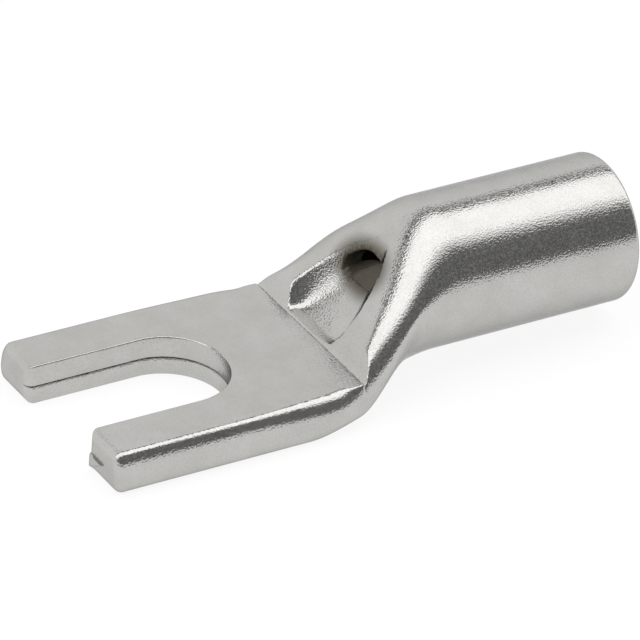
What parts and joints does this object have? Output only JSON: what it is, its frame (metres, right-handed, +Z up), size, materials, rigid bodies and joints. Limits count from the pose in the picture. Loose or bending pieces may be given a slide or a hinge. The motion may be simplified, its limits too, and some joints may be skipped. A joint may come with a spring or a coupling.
{
  "type": "fork terminal",
  "caption": "Fork-type tubular cable lug in tinned copper: round crimp barrel, dished neck with an inspection hole, and a flat palm with an open stud slot.",
  "frame": {"origin": "on the stud's axis, the centre of the slot's round end, at the palm's underside", "axes": "+X along the barrel towards its mouth, +Y across the palm, +Z up from the palm's underside"},
  "size_m": [0.0221, 0.0086, 0.0057],
  "materials": {
    "tinned_copper": "satin electro-tinned copper"
  },
  "bodies": {
    "root": {"fork_terminal": "tinned_copper"}
  },
  "joints": []
}
